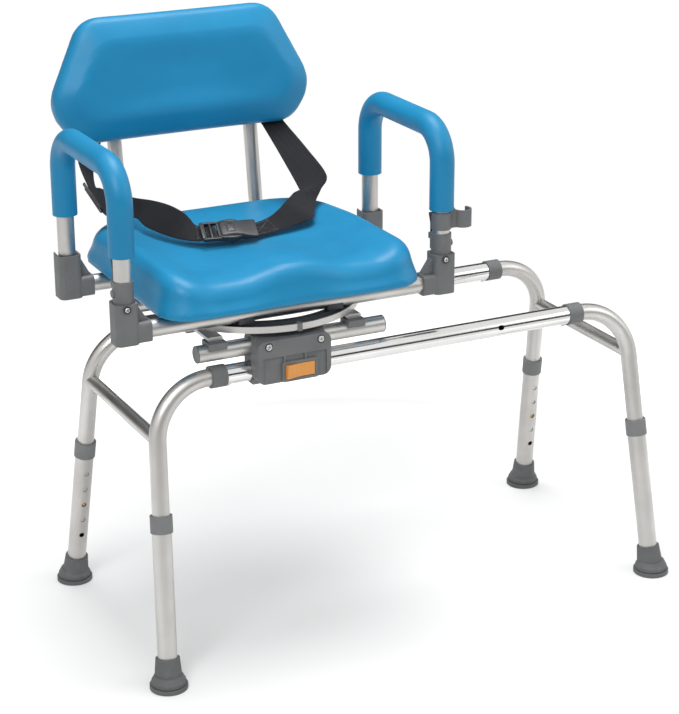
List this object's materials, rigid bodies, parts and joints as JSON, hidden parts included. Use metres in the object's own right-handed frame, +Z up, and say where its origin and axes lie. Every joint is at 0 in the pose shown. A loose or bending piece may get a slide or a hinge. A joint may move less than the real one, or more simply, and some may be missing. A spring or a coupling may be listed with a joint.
{
  "type": "sliding shower chair",
  "caption": "Padded shower seat with backrest, fold-back armrests and lap belt; it swivels on a carriage that slides along two rails on height-adjustable legs.",
  "frame": {"origin": "on the floor, under the middle of the chair's length and depth", "axes": "+X along the rails towards the free end of the bench, front at -Y, +Z up"},
  "size_m": [0.8932, 0.5205, 0.8781],
  "materials": {
    "blue_foam": "moulded closed-cell foam with a smooth skin",
    "brass": "satin",
    "dark_plastic": "fine textured moulded plastic",
    "foot_rubber": "moulded rubber",
    "grey_plastic": "fine textured moulded plastic",
    "matte_aluminium": "matte anodised, fine grain",
    "orange_plastic": "smooth moulded plastic",
    "polished_tube": "bright polished tube",
    "steel": "zinc plated",
    "webbing": "woven polyester webbing"
  },
  "bodies": {
    "base": {"rail_front": "polished_tube", "rail_back": "polished_tube", "frame_tubes_left": "matte_aluminium", "frame_tubes_right": "matte_aluminium", "cross_braces": "matte_aluminium", "rail_collars": "grey_plastic", "button_springs": "steel"},
    "carriage": {"carriage_tubes": "matte_aluminium", "carriage_end_caps": "grey_plastic", "cross_bars": "matte_aluminium", "saddles": "grey_plastic", "slider_block_front": "grey_plastic", "slider_block_back": "grey_plastic", "block_screws": "steel", "swivel_base_ring": "matte_aluminium", "ring_clips": "steel"},
    "slide_lock_rocker": {"slide_lock_rocker": "orange_plastic"},
    "slide_lock_pin": {"slide_lock_pin": "steel"},
    "seat": {"swivel_turn_ring": "dark_plastic", "seat_tubes": "matte_aluminium", "seat_cross_tubes": "matte_aluminium", "back_posts": "matte_aluminium", "seat_cushion": "blue_foam", "backrest_cushion": "blue_foam", "arm_brackets_front": "grey_plastic", "arm_brackets_back": "grey_plastic", "seat_fasteners": "steel", "belt_right": "webbing", "belt_left": "webbing", "belt_buckle": "dark_plastic", "belt_adjuster": "dark_plastic"},
    "leg_front_left": {"leg_extension_front_left": "matte_aluminium", "leg_collar_front_left": "grey_plastic", "foot_front_left": "foot_rubber"},
    "leg_button_front_left": {"leg_button_front_left": "brass"},
    "rail_button_front_left": {"rail_button_front_left": "steel"},
    "leg_front_right": {"leg_extension_front_right": "matte_aluminium", "leg_collar_front_right": "grey_plastic", "foot_front_right": "foot_rubber"},
    "leg_button_front_right": {"leg_button_front_right": "brass"},
    "rail_button_front_right": {"rail_button_front_right": "steel"},
    "leg_back_left": {"leg_extension_back_left": "matte_aluminium", "leg_collar_back_left": "grey_plastic", "foot_back_left": "foot_rubber"},
    "leg_button_back_left": {"leg_button_back_left": "brass"},
    "rail_button_back_left": {"rail_button_back_left": "steel"},
    "leg_back_right": {"leg_extension_back_right": "matte_aluminium", "leg_collar_back_right": "grey_plastic", "foot_back_right": "foot_rubber"},
    "leg_button_back_right": {"leg_button_back_right": "brass"},
    "rail_button_back_right": {"rail_button_back_right": "steel"},
    "armrest_left": {"armrest_tube_left": "matte_aluminium", "armrest_grip_left": "blue_foam", "armrest_sleeve_left": "grey_plastic"},
    "arm_lever_left": {"arm_lever_left": "dark_plastic"},
    "armrest_right": {"armrest_tube_right": "matte_aluminium", "armrest_grip_right": "blue_foam", "armrest_sleeve_right": "grey_plastic", "accessory_clip": "grey_plastic"},
    "arm_lever_right": {"arm_lever_right": "dark_plastic"}
  },
  "joints": [
    {"name": "carriage_slide", "type": "slide", "parent": "base", "child": "carriage", "axis": [1, 0, 0], "range_m": [-0.0282, 0.363]},
    {"name": "seat_swivel", "type": "hinge", "parent": "carriage", "child": "seat", "pos_m": [-0.181, -0.03546, 0.4934], "axis": [0, 0, 1], "continuous": true},
    {"name": "slide_lock_rocker_turn", "type": "hinge", "parent": "carriage", "child": "slide_lock_rocker", "pos_m": [-0.184, -0.19146, 0.4355], "axis": [0, 0, -1], "range_deg": [0, 12]},
    {"name": "slide_lock_pin_travel", "type": "slide", "parent": "carriage", "child": "slide_lock_pin", "axis": [0, 1, 0], "range_m": [0, 0.00353]},
    {"name": "leg_adjust_front_left", "type": "slide", "parent": "base", "child": "leg_front_left", "axis": [-0.0546, -0.1705, -0.9838], "range_m": [-0.0559, 0.0559]},
    {"name": "leg_button_front_left_pop", "type": "slide", "parent": "base", "child": "leg_button_front_left", "axis": [-0.0094, 0.9854, -0.1703], "range_m": [0, 0.0032]},
    {"name": "rail_button_front_left_press", "type": "slide", "parent": "base", "child": "rail_button_front_left", "axis": [0, 0, 1], "range_m": [0, 0.0032], "stiffness_N_per_m": 1200},
    {"name": "leg_adjust_front_right", "type": "slide", "parent": "base", "child": "leg_front_right", "axis": [0.0546, -0.1705, -0.9838], "range_m": [-0.0559, 0.0559]},
    {"name": "leg_button_front_right_pop", "type": "slide", "parent": "base", "child": "leg_button_front_right", "axis": [0.0094, 0.9854, -0.1703], "range_m": [0, 0.0032]},
    {"name": "rail_button_front_right_press", "type": "slide", "parent": "base", "child": "rail_button_front_right", "axis": [0, 0, 1], "range_m": [0, 0.0032], "stiffness_N_per_m": 1200},
    {"name": "leg_adjust_back_left", "type": "slide", "parent": "base", "child": "leg_back_left", "axis": [-0.0546, 0.1705, -0.9838], "range_m": [-0.0559, 0.0559]},
    {"name": "leg_button_back_left_pop", "type": "slide", "parent": "base", "child": "leg_button_back_left", "axis": [-0.0094, -0.9854, -0.1703], "range_m": [0, 0.0032]},
    {"name": "rail_button_back_left_press", "type": "slide", "parent": "base", "child": "rail_button_back_left", "axis": [0, 0, 1], "range_m": [0, 0.0032], "stiffness_N_per_m": 1200},
    {"name": "leg_adjust_back_right", "type": "slide", "parent": "base", "child": "leg_back_right", "axis": [0.0546, 0.1705, -0.9838], "range_m": [-0.0559, 0.0559]},
    {"name": "leg_button_back_right_pop", "type": "slide", "parent": "base", "child": "leg_button_back_right", "axis": [0.0094, -0.9854, -0.1703], "range_m": [0, 0.0032]},
    {"name": "rail_button_back_right_press", "type": "slide", "parent": "base", "child": "rail_button_back_right", "axis": [0, 0, 1], "range_m": [0, 0.0032], "stiffness_N_per_m": 1200},
    {"name": "armrest_fold_left", "type": "hinge", "parent": "seat", "child": "armrest_left", "pos_m": [-0.431, 0.07854, 0.546], "axis": [-1, 0, 0], "range_deg": [0, 100]},
    {"name": "arm_lever_left_press", "type": "hinge", "parent": "armrest_left", "child": "arm_lever_left", "pos_m": [-0.431, -0.13076, 0.585], "axis": [1, 0, 0], "range_deg": [0, 4.5], "stiffness_Nm_per_rad": 0.6},
    {"name": "armrest_fold_right", "type": "hinge", "parent": "seat", "child": "armrest_right", "pos_m": [0.069, 0.07854, 0.546], "axis": [-1, 0, 0], "range_deg": [0, 100]},
    {"name": "arm_lever_right_press", "type": "hinge", "parent": "armrest_right", "child": "arm_lever_right", "pos_m": [0.069, -0.13076, 0.585], "axis": [1, 0, 0], "range_deg": [0, 4.5], "stiffness_Nm_per_rad": 0.6}
  ],
  "couplings": [
    {"joint": "slide_lock_pin_travel", "follows": "slide_lock_rocker_turn", "m_per_rad": 0.015883}
  ]
}
